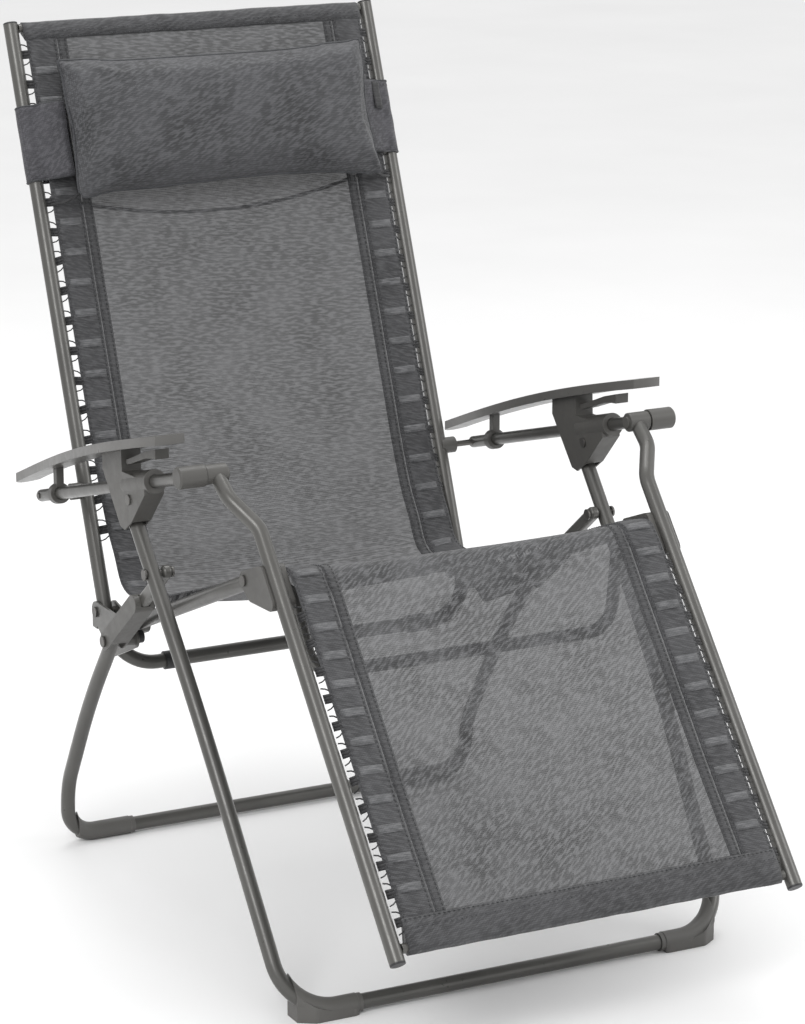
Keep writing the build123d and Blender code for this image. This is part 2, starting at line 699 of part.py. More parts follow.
def pad_profile():
    """Side view of the pad: a gently crowned strip of even thickness."""
    drop = pad_thickness
    with BuildLine() as outline:
        top = ThreePointArc(pad_front, pad_crown, pad_rear)
        bottom = ThreePointArc((pad_front[0], pad_front[1] - drop), (pad_crown[0], pad_crown[1] - drop),
                               (pad_rear[0], pad_rear[1] - drop))
        Line(top @ 0, bottom @ 0)
        Line(top @ 1, bottom @ 1)
    return outline


def under_pad(clearance):
    """Everything below the pad, used to trim what carries it."""
    with BuildPart() as block:
        with BuildSketch(side_plane(-400)):
            with BuildLine():
                top = ThreePointArc((pad_front[0], pad_front[1] - pad_thickness - clearance),
                                    (pad_crown[0], pad_crown[1] - pad_thickness - clearance),
                                    (pad_rear[0], pad_rear[1] - pad_thickness - clearance))
                Polyline(top @ 0, (pad_front[0], 300), (pad_rear[0], 300), top @ 1)
            make_face()
        extrude(amount=800)
    return block.part


pad_middle_x = (pad_inner_x + pad_outer_x) / 2
pad_width = pad_outer_x - pad_inner_x
for side, side_name in sides:
    with BuildPart() as arm_pad:
        with BuildSketch(side_plane(side * pad_middle_x - pad_width / 2 - pad_toe_in)):
            add(pad_profile().line)
            make_face()
        extrude(amount=pad_width + 2 * pad_toe_in)
        with BuildSketch(Plane.XY.offset(400)):
            with BuildLine():
                mid = side * pad_middle_x
                waist = mid - side * pad_toe_in * 0.4
                tail = mid - side * pad_toe_in
                front_curve = Spline((mid - 19, pad_front[0] + 5), (mid, pad_front[0]), (mid + 19, pad_front[0] + 5))
                right = Spline(front_curve @ 1, (mid + 27, -44), (waist + 25, 196), (tail + 17, pad_rear[0] - 14))
                rear_curve = Spline(right @ 1, (tail, pad_rear[0]), (tail - 17, pad_rear[0] - 14))
                Spline(rear_curve @ 1, (waist - 25, 196), (mid - 27, -44), front_curve @ 0)
            make_face()
        extrude(amount=300, mode=Mode.INTERSECT)
    save(arm_pad.part, "arm_pad_" + side_name)

leg_axis_top = (front_leg_top[1], front_leg_top[2])
leg_top_clearance = 12.0   # the bracket rises over the leg as the chair reclines
bracket_outline = [(36.0, 513.0), (50.0, 515.0), (104.0, 576.0), (104.0, 625.0), (44.0, 625.0), (42.0, 586.0), (-26.0, 590.0),
                   (-28.0, 572.0), (13.0, 529.0)]
for side, side_name in sides:
    low_x = min(side * bracket_left_x, side * bracket_right_x)
    barrel_start = (barrel_front, arm_axis_z(barrel_front))
    barrel_end = (42.0, arm_axis_z(42.0))
    with BuildPart() as arm_bracket:
        with BuildSketch(side_plane(low_x)):
            with BuildLine():
                Polyline(*bracket_outline, close=True)
            make_face()
        extrude(amount=bracket_right_x - bracket_left_x)
        add(straight_solid((side * arm_tube_x, *barrel_start), (side * arm_tube_x, *barrel_end), barrel_radius))
        add(under_pad(0.02), mode=Mode.INTERSECT)
        cavity_origin = (side * arm_tube_x - 10.3, *along(leg_axis_top, front_leg_direction, leg_top_clearance))
        with BuildSketch(Plane(origin=cavity_origin, x_dir=(0, *front_leg_direction), z_dir=(1, 0, 0))):
            with Locations((-60, -12)):
                Rectangle(120, 55)
        extrude(amount=20.6, mode=Mode.SUBTRACT)
        add(straight_solid((side * arm_tube_x, -64, arm_axis_z(-64)), (side * arm_tube_x, 156, arm_axis_z(156)),
                           arm_bore), mode=Mode.SUBTRACT)
    save(arm_bracket.part, "arm_bracket_" + side_name)

with BuildPart() as arm_guide_rings:
    for side, side_name in sides:
        with Locations((side * arm_tube_x, ring_y, arm_axis_z(ring_y) + 25)):
            Box(10, 11, 40)
        add(straight_solid((side * arm_tube_x, ring_y - 6, arm_axis_z(ring_y - 6)),
                           (side * arm_tube_x, ring_y + 6, arm_axis_z(ring_y + 6)), 13.5))
    add(under_pad(0.02), mode=Mode.INTERSECT)
    for side, side_name in sides:
        add(straight_solid((side * arm_tube_x, ring_y - 40, arm_axis_z(ring_y - 40)),
                           (side * arm_tube_x, ring_y + 40, arm_axis_z(ring_y + 40)), arm_bore), mode=Mode.SUBTRACT)
save(arm_guide_rings.part, "arm_guide_rings")

with BuildPart() as bracket_rivets:
    for side, side_name in sides:
        add(lateral_solid(side * (bracket_left_x - 2.2), side * bracket_left_x, leg_top_pivot, 6.5))
        add(lateral_solid(side * bracket_right_x, side * (bracket_right_x + 2.2), leg_top_pivot, 6.5))
save(bracket_rivets.part, "bracket_rivets")

# ---------------------------------------------------------------- lock levers
lever_half_width = 9.0
lever_tip_y = -54.0
lever_pivot = (34.0, 599.5)
knuckle_radius = 3.4


def lever_outline():
    """Side view of a lock lever: a flat finger plate under the pad with a thicker tip."""
    with BuildLine() as outline:
        Polyline((34, 602.5), (34, 596.5), (26, 598.5), (-24, 616.8), (-42, 620.5), (lever_tip_y, 622),
                 (lever_tip_y, 634.5), (-24, 625.5), close=True)
    return outline


for side, side_name in sides:
    with BuildPart() as lock_lever:
        with BuildSketch(side_plane(side * arm_tube_x - lever_half_width)):
            add(lever_outline().line)
            make_face()
        extrude(amount=2 * lever_half_width)
        add(lateral_solid(side * arm_tube_x - lever_half_width, side * arm_tube_x + lever_half_width, lever_pivot,
                          knuckle_radius))
        add(under_pad(0.9), mode=Mode.INTERSECT)
    save(lock_lever.part, "lock_lever_" + side_name)
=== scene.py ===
"""Looks of the zero gravity recliner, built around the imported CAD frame.

Metres, in the CAD frame: +Z up, the sitter faces -Y.
"""
import json
import math

import bpy
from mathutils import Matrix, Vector, noise
from mathutils.bvhtree import BVHTree


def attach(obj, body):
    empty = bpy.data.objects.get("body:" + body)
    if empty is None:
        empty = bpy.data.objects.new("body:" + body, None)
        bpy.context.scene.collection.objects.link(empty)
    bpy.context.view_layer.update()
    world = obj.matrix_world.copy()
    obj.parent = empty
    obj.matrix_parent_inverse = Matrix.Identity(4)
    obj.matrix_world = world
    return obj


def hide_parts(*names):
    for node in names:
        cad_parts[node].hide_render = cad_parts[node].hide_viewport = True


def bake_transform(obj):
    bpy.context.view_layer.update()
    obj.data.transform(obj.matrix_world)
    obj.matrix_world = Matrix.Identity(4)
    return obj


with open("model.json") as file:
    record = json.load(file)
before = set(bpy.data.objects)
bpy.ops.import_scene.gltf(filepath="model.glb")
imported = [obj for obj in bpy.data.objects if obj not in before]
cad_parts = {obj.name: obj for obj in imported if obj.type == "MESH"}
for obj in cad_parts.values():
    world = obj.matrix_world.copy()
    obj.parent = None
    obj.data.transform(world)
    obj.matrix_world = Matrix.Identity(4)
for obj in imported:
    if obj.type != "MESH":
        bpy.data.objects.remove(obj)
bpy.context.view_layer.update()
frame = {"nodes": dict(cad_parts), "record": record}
scene = bpy.context.scene
nodes = frame["nodes"]
sides = ((-1, "left"), (1, "right"))

# ---------------------------------------------------------------- places that repeat the CAD
BACK_PIVOT = (0.279, 0.3355)
BACK_DIRECTION = (0.36444, 0.93123)
LEG_END = (-0.566, 0.148)
LEG_DIRECTION = (0.64839, 0.76131)
KNEE_PIVOT = (-0.192, 0.4997)
SEAT_DIRECTION = (0.92254, -0.38591)
BACK_TUBE_X = 0.262
TUBE_INNER_X = 0.2524
SHEET_HALF_WIDTH = 0.2445
EDGE_X = 0.2465
FABRIC_FRONT = 0.008


def on_line(origin, direction, distance, normal=0.0):
    """(y, z) at a distance along a side view line, moved towards the sitter's side by normal."""
    y = origin[0] + direction[0] * distance - direction[1] * normal
    z = origin[1] + direction[1] * distance + direction[0] * normal
    return (y, z)


def on_back(distance, normal=0.0):
    return on_line(BACK_PIVOT, BACK_DIRECTION, distance, normal)


def on_leg(distance, normal=0.0):
    return on_line(LEG_END, LEG_DIRECTION, distance, normal)


# ---------------------------------------------------------------- materials
def start_material(name):
    """A new node material: (material, its node tree, its Principled shader)."""
    made = bpy.data.materials.new(name)
    made.use_nodes = True
    tree = made.node_tree
    return made, tree, tree.nodes["Principled BSDF"]


def node(tree, kind, inputs=None, **settings):
    """Add a node, set its properties, and set or link its inputs."""
    made = tree.nodes.new(kind)
    for key, value in settings.items():
        setattr(made, key, value)
    for key, value in (inputs or {}).items():
        if isinstance(value, bpy.types.NodeSocket):
            tree.links.new(value, made.inputs[key])
        else:
            made.inputs[key].default_value = value
    return made


def ramp(tree, factor, low, high, dark, light):
    """Colour ramp between two colours over a range of the factor."""
    made = node(tree, "ShaderNodeValToRGB", {"Fac": factor})
    made.color_ramp.elements[0].position = low
    made.color_ramp.elements[1].position = high
    made.color_ramp.elements[0].color = (*dark, 1)
    made.color_ramp.elements[1].color = (*light, 1)
    return made.outputs["Color"]


def spread(tree, factor, low, high, to_low, to_high):
    """Map a range of the factor to another range."""
    return node(tree, "ShaderNodeMapRange", {0: factor, 1: low, 2: high, 3: to_low, 4: to_high}).outputs[0]


def noise_of(tree, vector, scale, detail=3.0, rough=0.55):
    return node(tree, "ShaderNodeTexNoise",
                {"Vector": vector, "Scale": scale, "Detail": detail, "Roughness": rough}).outputs[0]


def cover(tree, mask, under, over):
    """A colour covered by a plain one as far as the mask says (6 and 7 are the Mix node's colours)."""
    return node(tree, "ShaderNodeMix", {0: mask, 6: under, 7: (*over, 1)}, data_type="RGBA").outputs[2]


def hard_finish(name, colour, roughness, metallic=0.0, coat=0.0, grain=900.0, grain_depth=0.00004, wear=0.35,
                scuff=0.25):
    """Painted metal or moulded plastic: soft colour drift, fine grain, scuffs, and paler worn edges."""
    made, tree, shader = start_material(name)
    place = node(tree, "ShaderNodeTexCoord").outputs["Object"]
    drift = noise_of(tree, place, 9.0, 2.0)
    dark = [c * 0.86 for c in colour]
    light = [min(1, c * 1.16) for c in colour]
    base = ramp(tree, drift, 0.3, 0.7, dark, light)
    speck = noise_of(tree, place, 70.0, 6.0, 0.7)
    scuffs = spread(tree, speck, 0.62, 0.74, 0.0, scuff)
    pale = [min(1, c * 1.75 + 0.02) for c in colour]
    worn = cover(tree, scuffs, base, pale)
    bevel = node(tree, "ShaderNodeBevel", {"Radius": 0.0011}, samples=4).outputs[0]
    true = node(tree, "ShaderNodeNewGeometry").outputs["Normal"]
    dot = node(tree, "ShaderNodeVectorMath", {0: bevel, 1: true}, operation="DOT_PRODUCT").outputs["Value"]
    patchy = spread(tree, noise_of(tree, place, 160.0, 4.0), 0.35, 0.6, 0.2, 1.0)
    edge = spread(tree, dot, 0.995, 0.86, 0.0, wear)
    edge_mask = node(tree, "ShaderNodeMath", {0: edge, 1: patchy}, operation="MULTIPLY").outputs[0]
    final = cover(tree, edge_mask, worn, pale)
    tree.links.new(final, shader.inputs["Base Color"])
    gloss = spread(tree, speck, 0.3, 0.75, roughness - 0.06, roughness + 0.12)
    tree.links.new(gloss, shader.inputs["Roughness"])
    fine = noise_of(tree, place, grain, 2.0)
    bump = node(tree, "ShaderNodeBump",
                {"Height": fine, "Normal": bevel, "Strength": 1.0, "Distance": grain_depth})
    tree.links.new(bump.outputs[0], shader.inputs["Normal"])
    shader.inputs["Metallic"].default_value = metallic
    shader.inputs["Coat Weight"].default_value = coat
    shader.inputs["Coat Roughness"].default_value = 0.25
    return made


YARN_PITCH = 0.0019
STREAK_SIZE = (0.0120, 0.0030, 0.0030)


def woven(name, dark, light, slant, use_uv, see_through=0.0, streak=0.8, plane_tilt=0.0):
    """Woven mesh: crossing yarns, slanting paler streaks, a soft sheen, and holes if it is a single layer."""
    made, tree, shader = start_material(name)
    coordinates = node(tree, "ShaderNodeTexCoord")
    if use_uv:
        place = coordinates.outputs["UV"]
    else:
        turn = node(tree, "ShaderNodeMapping",
                    {"Vector": coordinates.outputs["Object"],
                     "Rotation": (math.radians(-90) + plane_tilt, 0, 0)})
        place = turn.outputs[0]
    wave_scale = math.pi / (10 * YARN_PITCH)
    across = node(tree, "ShaderNodeTexWave", {"Vector": place, "Scale": wave_scale, "Distortion": 0.6,
                                              "Detail Scale": 0.05}, bands_direction="X").outputs["Fac"]
    down = node(tree, "ShaderNodeTexWave", {"Vector": place, "Scale": wave_scale * 0.8, "Distortion": 0.6,
                                            "Detail Scale": 0.05}, bands_direction="Y").outputs["Fac"]
    yarn = node(tree, "ShaderNodeMath", {0: across, 1: down}, operation="MULTIPLY").outputs[0]
    stretch = node(tree, "ShaderNodeMapping",
                   {"Vector": place, "Rotation": (0, 0, slant), "Scale": STREAK_SIZE},
                   vector_type="TEXTURE")
    streaks = noise_of(tree, stretch.outputs[0], 1.0, 1.0, 0.4)
    streak_mask = spread(tree, streaks, 0.44, 0.62, 0.0, streak)
    blotch = noise_of(tree, place, 14.0, 2.0)
    middle = [(a + b) / 2 for a, b in zip(dark, light)]
    ground = ramp(tree, blotch, 0.3, 0.7, dark, middle)
    mixed = cover(tree, streak_mask, ground, light)
    shade = spread(tree, yarn, 0.0, 0.7, 0.74, 1.12)
    final = node(tree, "ShaderNodeVectorMath", {0: mixed, "Scale": shade}, operation="SCALE").outputs[0]
    tree.links.new(final, shader.inputs["Base Color"])
    tree.links.new(spread(tree, streaks, 0.3, 0.7, 0.78, 0.6), shader.inputs["Roughness"])
    if see_through:
        holes = spread(tree, yarn, 0.05, 0.45, 1 - see_through * 2.2, 1.0)
        tree.links.new(holes, shader.inputs["Alpha"])
    bump = node(tree, "ShaderNodeBump", {"Height": yarn, "Strength": 0.7, "Distance": 0.0005})
    tree.links.new(bump.outputs[0], shader.inputs["Normal"])
    shader.inputs["Sheen Weight"].default_value = 0.12
    shader.inputs["Sheen Roughness"].default_value = 0.5
    return made


back_slant = math.radians(4)
leg_slant = math.radians(-36)
pillow_tilt = math.atan2(BACK_DIRECTION[0], BACK_DIRECTION[1])
mesh_dark = (0.0175, 0.0178, 0.0190)
mesh_light = (0.118, 0.119, 0.124)
band_dark = (0.021, 0.0212, 0.023)
band_light = (0.072, 0.0725, 0.077)
sling_upper_look = woven("sling_mesh_upper", mesh_dark, mesh_light, back_slant, True, 0.05)
sling_lower_look = woven("sling_mesh_lower", mesh_dark, mesh_light, leg_slant, True, 0.055)
band_look = woven("sling_band", band_dark, band_light, math.radians(20), True, 0.0, 0.55)
strip_look = woven("sling_inner_strip", (0.026, 0.0262, 0.028), (0.070, 0.0705, 0.074),
                   back_slant, True, 0.0, 0.5)
slot_look = woven("sling_slot_bar", (0.060, 0.061, 0.064), (0.135, 0.136, 0.142), back_slant, True, 0.0, 0.7)
pillow_look = woven("pillow_mesh", (0.020, 0.0205, 0.0225), (0.084, 0.085, 0.092), math.radians(24),
                    False, 0.0, 0.6,
                    pillow_tilt)
flap_look = woven("flap_weave", (0.027, 0.0265, 0.031), (0.074, 0.0725, 0.083), math.radians(30),
                  False, 0.0, 0.6,
                  pillow_tilt)
piping_look = woven("pillow_piping", (0.020, 0.021, 0.024), (0.05, 0.052, 0.058),
                    0.3, False, 0.0, 0.4, pillow_tilt)
tag_look = woven("tag_weave", (0.010, 0.010, 0.011), (0.030, 0.030, 0.032), 0.0, False, 0.0, 0.3, pillow_tilt)
elastic_look = woven("braided_elastic", (0.008, 0.008, 0.009), (0.028, 0.028, 0.030), 0.8, False, 0.0, 0.5)
thread_look = woven("thread", (0.020, 0.021, 0.023), (0.060, 0.062, 0.068), 0.4, False, 0.0, 0.5)

looks = {
    "frame_paint": hard_finish("frame_paint", (0.076, 0.0742, 0.069),
                               0.32, 0.35, 0.25, 1100, 0.00002, 0.4, 0.16),
    "pin_steel": hard_finish("pin_steel", (0.12, 0.116, 0.110), 0.36, 0.8, 0.0, 700, 0.00002, 0.3, 0.2),
    "joint_plastic": hard_finish("joint_plastic", (0.066, 0.0640, 0.0595),
                                 0.42, 0.0, 0.0, 1500, 0.00005, 0.5, 0.2),
    "foot_plastic": hard_finish("foot_plastic", (0.086, 0.0835, 0.0785),
                                0.46, 0.0, 0.0, 1500, 0.00005, 0.55, 0.4),
    "pad_plastic": hard_finish("pad_plastic", (0.088, 0.0855, 0.0810),
                               0.32, 0.0, 0.12, 1700, 0.00004, 0.4, 0.12),
    "black_plastic": hard_finish("black_plastic", (0.014, 0.014, 0.015),
                                 0.45, 0.0, 0.0, 1300, 0.00005, 0.3, 0.2),
}
for piece in frame["record"]["subparts"]:
    look = looks.get(piece["material_slot"])
    if look:
        target = nodes[piece["node"]]
        target.data.materials.clear()
        target.data.materials.append(look)


# ---------------------------------------------------------------- mesh building
def plain_uvs(rows):
    """The same (u, v) place for every point, for pieces whose material doesn't need one."""
    return [[(0, 0)] * len(row) for row in rows]


class Shape:
    """Collects points and faces of one piece, with a flat (u, v) place in metres for each point."""

    def __init__(self):
        self.points = []
        self.faces = []
        self.uvs = []

    def grid(self, rows, uv_rows, around=False, flip=False):
        """Faces between rows of points; around closes each row into a ring."""
        base = len(self.points)
        wide = len(rows[0])
        for row, uv_row in zip(rows, uv_rows):
            self.points.extend(row)
            self.uvs.extend(uv_row)
        for i in range(len(rows) - 1):
            for j in range(wide if around else wide - 1):
                k = (j + 1) % wide
                here, ahead = base + i * wide, base + (i + 1) * wide
                face = (here + j, here + k, ahead + k, ahead + j)
                self.faces.append(face[::-1] if flip else face)
        return base

    def close_ends(self, base, count, wide):
        """Cap the first and last of a number of closed rows."""
        self.faces.append(tuple(base + k for k in range(wide))[::-1])
        last = base + (count - 1) * wide
        self.faces.append(tuple(last + k for k in range(wide)))

    def tube(self, line, radius, around=8):
        """Round bar along a line of points, closed at its ends; radius may be a list."""
        line = [Vector(p) for p in line]
        radii = radius if isinstance(radius, (list, tuple)) else [radius] * len(line)
        rows = []
        normal = None
        for i, point in enumerate(line):
            ahead = (line[min(i + 1, len(line) - 1)] - line[max(i - 1, 0)]).normalized()
            if normal is None:
                start = Vector((1, 0, 0)) if abs(ahead.x) < 0.9 else Vector((0, 0, 1))
                normal = (start - ahead * start.dot(ahead)).normalized()
            else:
                normal = (normal - ahead * normal.dot(ahead)).normalized()
            other = ahead.cross(normal)
            turns = [2 * math.pi * k / around for k in range(around)]
            rows.append([point + (normal * math.cos(t) + other * math.sin(t)) * radii[i] for t in turns])
        base = self.grid(rows, plain_uvs(rows), around=True)
        self.close_ends(base, len(rows), around)

    def build(self, name, look):
        """The finished object, with smooth shading and one material."""
        mesh = bpy.data.meshes.new(name)
        mesh.from_pydata([tuple(p) for p in self.points], [], self.faces)
        layer = mesh.uv_layers.new(name="UVMap")
        for loop in mesh.loops:
            layer.data[loop.index].uv = self.uvs[loop.vertex_index]
        mesh.materials.append(look)
        for polygon in mesh.polygons:
            polygon.use_smooth = True
        mesh.validate()
        made = bpy.data.objects.new(name, mesh)
        scene.collection.objects.link(made)
        return made


# ---------------------------------------------------------------- line of the sling's edge, in side view
BACK_HEM = 0.789
LEG_HEM = 0.004
LEG_TOP = 0.456
BACK_STEP = 0.049
edge_line = [on_back(BACK_HEM - i * BACK_STEP, FABRIC_FRONT) for i in range(13)]
edge_line += [on_back(0.150, 0.0095), on_back(0.105, 0.0140), on_back(0.070, 0.0230)]
# round the hip, along the seat tubes and over the knee
edge_line += [(0.2590, 0.3735), (0.2180, 0.3665), (0.1650, 0.3775), (0.1000, 0.4000), (0.0400, 0.4205),
              (-0.0200, 0.4418), (-0.0900, 0.4672), (-0.1500, 0.4893), (-0.1950, 0.5065), (-0.2260, 0.5180),
              (-0.2430, 0.5222), (-0.2555, 0.5195), (-0.2655, 0.5108)]
edge_line += [on_leg(LEG_TOP - i * (LEG_TOP - LEG_HEM) / 11, FABRIC_FRONT) for i in range(12)]


def smooth_line(points, steps):
    """Points on a smooth curve through the given (y, z) points."""
    found = []
    last = len(points) - 1
    for i in range(last):
        a, b, c, d = (Vector(points[min(max(k, 0), last)]) for k in (i - 1, i, i + 1, i + 2))
        for step in range(steps):
            t = step / steps
            found.append(0.5 * ((2 * b) + (c - a) * t + (2 * a - 5 * b + 4 * c - d) * t ** 2
                                + (3 * b - a - 3 * c + d) * t ** 3))
    found.append(Vector(points[last]))
    return found


line_points = smooth_line(edge_line, 12)
line_lengths = [0.0]
for first, second in zip(line_points, line_points[1:]):
    line_lengths.append(line_lengths[-1] + (second - first).length)
LINE_LENGTH = line_lengths[-1]


def line_at(length):
    """((y, z), direction) at a length along the sling from its top edge."""
    length = min(max(length, 0.0), LINE_LENGTH)
    low, high = 0, len(line_lengths) - 1
    while high - low > 1:
        middle = (low + high) // 2
        if line_lengths[middle] <= length:
            low = middle
        else:
            high = middle
    share = (length - line_lengths[low]) / (line_lengths[high] - line_lengths[low])
    before = line_points[max(low - 1, 0)]
    after = line_points[min(high + 1, len(line_points) - 1)]
    return line_points[low].lerp(line_points[high], share), (after - before).normalized()


SEAT_TOP_Z = 0.53
SEAT_FIRST_LENGTH = 0.6


def length_at_y(y):
    """Length along the sling at which its edge passes a given Y on the seat."""
    on_seat = [(p, s) for p, s in zip(line_points, line_lengths)
               if p[1] < SEAT_TOP_Z and s > SEAT_FIRST_LENGTH]
    return min((abs(p[0] - y), s) for p, s in on_seat)[1]


def ease(value, low, high):
    """Smooth step from 0 to 1 between two values."""
    t = min(max((value - low) / (high - low), 0.0), 1.0)
    return t * t * (3 - 2 * t)


HIP = length_at_y(0.22)
SPLIT = length_at_y(0.03)
KNEE = length_at_y(-0.235)


def sag(length):
    """How far the middle of the sling lies below its edges."""
    depth = 0.012 * ease(length, 0.04, 0.20)
    depth += 0.010 * ease(length, HIP - 0.25, HIP + 0.05)
    depth -= 0.016 * ease(length, KNEE - 0.20, KNEE - 0.01)
    depth += 0.003 * ease(length, KNEE + 0.02, KNEE + 0.15)
    depth -= 0.009 * ease(length, LINE_LENGTH - 0.17, LINE_LENGTH - 0.03)
    return depth


def sling_point(x, length, lift=0.0):
    """Point of the sling in space, with its normal towards the sitter."""
    place, ahead = line_at(length)
    share = x / SHEET_HALF_WIDTH
    ripple = 0.0011 * noise.noise(Vector((x * 9, length * 16, 3.7))) * (1 - share ** 4)
    height = lift + ripple - sag(length) * (1 - share * share)
    return Vector((x, place[0] + ahead[1] * height, place[1] - ahead[0] * height))


def steps_between(low, high, size):
    """Evenly spaced values from low to high, about a size apart."""
    count = max(1, round((high - low) / size))
    return [low + (high - low) * i / count for i in range(count + 1)]


SHEET_STEP_X = 0.0125
SLING_STEP = 0.011
SLAB_STEP_X = 0.009
SLAB_EDGE = 0.0009
SLAB_EDGE_SHARE = 0.55


def sheet_shape(low, high):
    """Single layer of mesh between two lengths."""
    made = Shape()
    across = steps_between(-SHEET_HALF_WIDTH, SHEET_HALF_WIDTH, SHEET_STEP_X)
    down = steps_between(low, high, SLING_STEP)
    made.grid([[sling_point(x, s) for x in across] for s in down],
              [[(x, s) for x in across] for s in down])
    return made


def slab(made, x_low, x_high, low, high, top, bottom, step_x=SLAB_STEP_X, step_s=SLING_STEP):
    """Closed strip that follows the sling, between two lifts, thinner at its side edges."""
    across = steps_between(x_low, x_high, step_x)
    down = steps_between(low, high, step_s)

    def lifted(x, lift):
        return (x, lift if x_low + SLAB_EDGE < x < x_high - SLAB_EDGE else lift * SLAB_EDGE_SHARE)

    rows = []
    uv_rows = []
    for s in down:
        ring = [lifted(x, top) for x in across]
        ring += [lifted(x, bottom) for x in reversed(across)]
        rows.append([sling_point(x, s, lift) for x, lift in ring])
        uv_rows.append([(x, s) for x, lift in ring])
    base = made.grid(rows, uv_rows, around=True)
    made.close_ends(base, len(rows), len(rows[0]))


UPPER = (0.018, SPLIT)
LOWER = (SPLIT, LINE_LENGTH - 0.030)


def bend(piece, half):
    """Bake a sling piece's placement into its mesh; both halves get the same treatment."""
    if half == "upper":
        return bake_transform(piece)
    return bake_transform(piece)


BAND_INNER_X = 0.2045
STRIP_INNER_X = 0.1895
BAND_LIFT = 0.0017
STRIP_LIFT = 0.0009
SLOT_X = (0.2095, 0.2405)
SLOT_HALF_LENGTH = 0.0052
STITCH_ROWS_X = (0.1918, 0.2005, 0.2070, 0.2442)
STITCH_STEP = 0.0062
STITCH_HALF = 0.0018
STITCH_RADIUS = 0.00042


def stitch(made, points):
    """One short arched thread through three points."""
    made.tube(points, STITCH_RADIUS, 5)


for half, (low, high), look in (("upper", UPPER, sling_upper_look), ("lower", LOWER, sling_lower_look)):
    sheet = sheet_shape(low, high).build("sling_" + half, look)
    bands = Shape()
    strips = Shape()
    slots = Shape()
    stitches = Shape()
    pitch = 0.041 if half == "upper" else 0.0365
    for side, _ in sides:
        near, far = sorted((side * BAND_INNER_X, side * EDGE_X))
        slab(bands, near, far, low - 0.002, high, BAND_LIFT, -BAND_LIFT)
        near, far = sorted((side * STRIP_INNER_X, side * (BAND_INNER_X - 0.002)))
        slab(strips, near, far, low - 0.002, high, STRIP_LIFT, -STRIP_LIFT)
        station = low + 0.050 if half == "upper" else low + 0.012
        while station < high - 0.03:
            near, far = sorted((side * SLOT_X[0], side * SLOT_X[1]))
            slab(slots, near, far, station - SLOT_HALF_LENGTH, station + SLOT_HALF_LENGTH, 0.0028, 0.0012,
                 0.0078, 0.0035)
            station += pitch
        for row_x in STITCH_ROWS_X:
            lift = 0.0012 if row_x < BAND_INNER_X else 0.0019
            for s in steps_between(low + 0.004, high - 0.004, STITCH_STEP):
                x = side * row_x
                stitch(stitches, [sling_point(x, s - STITCH_HALF, lift - 0.0004),
                                  sling_point(x, s, lift + 0.0003),
                                  sling_point(x, s + STITCH_HALF, lift - 0.0004)])
    made = [bands.build("sling_bands_" + half, band_look),
            strips.build("sling_strips_" + half, strip_look),
            slots.build("sling_slot_bars_" + half, slot_look),
            stitches.build("sling_stitches_" + half, thread_look)]
    for piece in [sheet] + made:
        bend(piece, half)
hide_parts("back_sling", "seat_sling")
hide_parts("leg_sling")


# ---------------------------------------------------------------- hems round the two spreader bars
HEM_HALF_WIDTH = 0.2475
HEM_STITCH_X = 0.243


def hem(name, along, body, outline):
    """Fold of fabric round a bar: outline is (distance, out) of its outer surface, all the way round."""
    made = Shape()
    rows = []
    uv_rows = []
    for x in steps_between(-HEM_HALF_WIDTH, HEM_HALF_WIDTH, 0.012):
        pull = 0.0009 * noise.noise(Vector((x * 40, outline[0][0], 1.3)))
        rows.append([Vector((x, *along(d + pull, out))) for d, out in outline])
        uv_rows.append([(x, d) for d, out in outline])
    base = made.grid(rows, uv_rows, around=True)
    made.close_ends(base, len(rows), len(outline))
    piece = made.build(name, band_look)
    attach(piece, body)


def hem_stitches(along, distances, low_out, high_out):
    """Rows of stitches across a hem, each at a distance along the line."""
    made = Shape()
    for x in steps_between(-HEM_STITCH_X, HEM_STITCH_X, STITCH_STEP):
        for d in distances:
            stitch(made, [Vector((x - STITCH_HALF, *along(d, low_out))), Vector((x, *along(d, high_out))),
                          Vector((x + STITCH_HALF, *along(d, low_out)))])
    return made


hem("sling_hem_top", on_back, "back",
    [(0.7640, 0.0098), (0.7740, 0.0100), (0.7816, 0.0090), (0.7868, 0.0064), (0.7895, 0.0010),
     (0.7880, -0.0045), (0.7840, -0.0074), (0.7780, -0.0074), (0.7735, -0.0040), (0.7690, 0.0010),
     (0.7630, 0.0064)])
hem("sling_hem_bottom", on_leg, "leg_rest",
    [(0.0480, 0.0098), (0.0360, 0.0102), (0.0240, 0.0096), (0.0160, 0.0088), (0.0095, 0.0066),
     (0.0066, 0.0020), (0.0080, -0.0040), (0.0120, -0.0074), (0.0180, -0.0080), (0.0240, -0.0060),
     (0.0320, -0.0010), (0.0400, 0.0040), (0.0480, 0.0064)])
stitch_rows = hem_stitches(on_back, (0.7660, 0.7735), 0.0096, 0.0103)
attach(stitch_rows.build("hem_stitches_top", thread_look), "back")
stitch_rows = hem_stitches(on_leg, (0.0460, 0.0350), 0.0096, 0.0104)
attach(stitch_rows.build("hem_stitches_bottom", thread_look), "leg_rest")


# ---------------------------------------------------------------- elastic lacing along the tubes
LACE_OUT = 0.0035


def lace(made, edge, tube, ahead):
    """One elastic crossing: a thick knotted middle between two thin strands."""
    across = [(1 - t) * edge + t * tube for t in (0.0, 0.5, 1.0)]
    for shift, radius in ((-0.0037, 0.0021), (0.0, 0.0024), (0.0037, 0.0021)):
        made.tube([p + ahead * shift for p in across], radius, 8)
    for way in (-1, 1):
        strand = [edge + ahead * way * 0.0085, (edge + tube) / 2 + ahead * way * 0.0125,
                  tube + ahead * way * 0.0140]
        made.tube(strand, 0.0009, 6)


